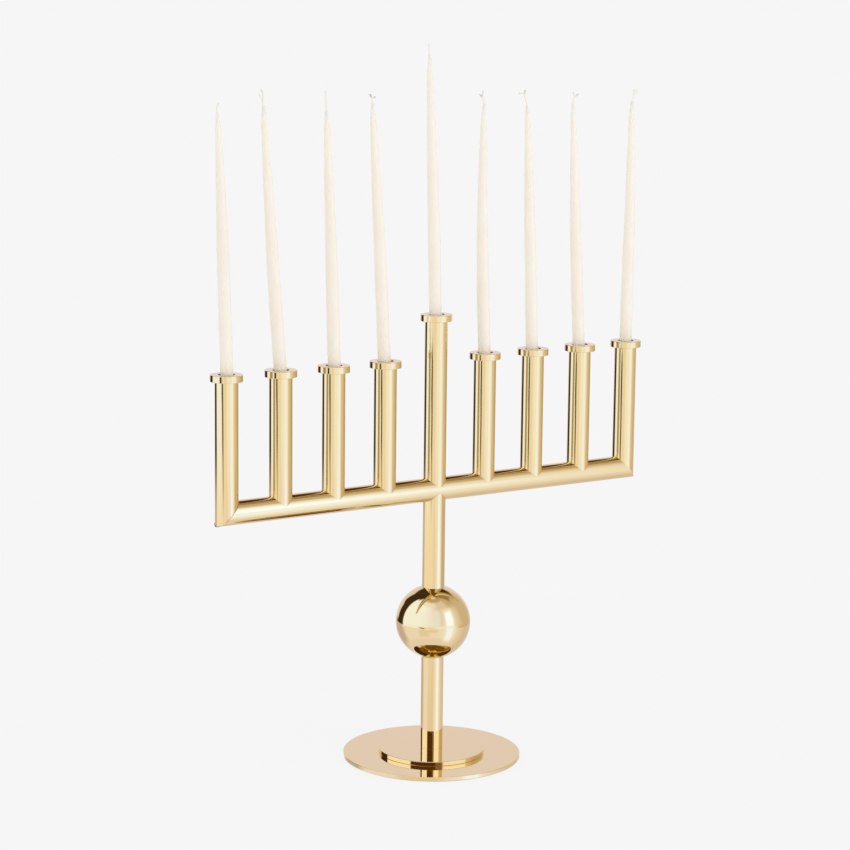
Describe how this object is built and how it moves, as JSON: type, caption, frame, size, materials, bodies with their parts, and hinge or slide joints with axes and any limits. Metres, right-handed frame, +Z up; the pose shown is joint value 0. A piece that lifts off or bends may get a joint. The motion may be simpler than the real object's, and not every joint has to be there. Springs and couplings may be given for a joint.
{
  "type": "tabletop candelabra",
  "caption": "Polished brass tabletop candelabra: upright candle arms in a row on one bar, a taller middle arm, a stem with a ball and a round stepped foot, holding thin taper candles.",
  "frame": {"origin": "centre of the felt pad's underside, on the surface it stands on", "axes": "+Z up the stem, X along the bar, Y from front to back"},
  "size_m": [0.4054, 0.144, 0.576],
  "materials": {
    "brass": "mirror polished",
    "steel": "zinc plated",
    "felt": "matt",
    "wax": "smooth satin wax",
    "cotton": "braided"
  },
  "bodies": {
    "stand": {"felt_pad": "felt", "foot_screw": "steel", "foot_plate": "brass", "foot_disc": "brass", "stem_plug": "brass", "lower_stem": "brass", "ball_spigot": "brass", "lower_ball_half": "brass", "upper_ball_half": "brass", "upper_stem": "brass", "bar_left_half": "brass", "bar_right_half": "brass", "arm_1": "brass", "arm_2": "brass", "arm_3": "brass", "arm_4": "brass", "arm_5": "brass", "arm_6": "brass", "arm_7": "brass", "arm_8": "brass", "arm_9": "brass", "candle_cup_1": "brass", "candle_cup_2": "brass", "candle_cup_3": "brass", "candle_cup_4": "brass", "candle_cup_5": "brass", "candle_cup_6": "brass", "candle_cup_7": "brass", "candle_cup_8": "brass", "candle_cup_9": "brass"},
    "loose_candle_1": {"candle_1": "wax", "wick_1": "cotton"},
    "loose_candle_2": {"candle_2": "wax", "wick_2": "cotton"},
    "loose_candle_3": {"candle_3": "wax", "wick_3": "cotton"},
    "loose_candle_4": {"candle_4": "wax", "wick_4": "cotton"},
    "loose_candle_5": {"candle_5": "wax", "wick_5": "cotton"},
    "loose_candle_6": {"candle_6": "wax", "wick_6": "cotton"},
    "loose_candle_7": {"candle_7": "wax", "wick_7": "cotton"},
    "loose_candle_8": {"candle_8": "wax", "wick_8": "cotton"},
    "loose_candle_9": {"candle_9": "wax", "wick_9": "cotton"}
  },
  "joints": [
    {"name": "candle_1_lift", "type": "slide", "parent": "stand", "child": "loose_candle_1", "axis": [-0.0277, 0.0182, 0.9995], "range_m": [0, 0.03]},
    {"name": "candle_2_lift", "type": "slide", "parent": "stand", "child": "loose_candle_2", "axis": [-0.0539, 0.0354, 0.9979], "range_m": [0, 0.03]},
    {"name": "candle_3_lift", "type": "slide", "parent": "stand", "child": "loose_candle_3", "axis": [-0.0292, 0.0192, 0.9994], "range_m": [0, 0.03]},
    {"name": "candle_4_lift", "type": "slide", "parent": "stand", "child": "loose_candle_4", "axis": [-0.0452, 0.0297, 0.9985], "range_m": [0, 0.03]},
    {"name": "candle_5_lift", "type": "slide", "parent": "stand", "child": "loose_candle_5", "axis": [-0.0292, 0.0192, 0.9994], "range_m": [0, 0.03]},
    {"name": "candle_6_lift", "type": "slide", "parent": "stand", "child": "loose_candle_6", "axis": [-0.0131, 0.0086, 0.9999], "range_m": [0, 0.03]},
    {"name": "candle_7_lift", "type": "slide", "parent": "stand", "child": "loose_candle_7", "axis": [-0.0306, 0.0201, 0.9993], "range_m": [0, 0.03]},
    {"name": "candle_8_lift", "type": "slide", "parent": "stand", "child": "loose_candle_8", "axis": [-0.0365, 0.0239, 0.999], "range_m": [0, 0.03]},
    {"name": "candle_9_lift", "type": "slide", "parent": "stand", "child": "loose_candle_9", "axis": [0.0029, -0.0019, 1], "range_m": [0, 0.03]}
  ]
}
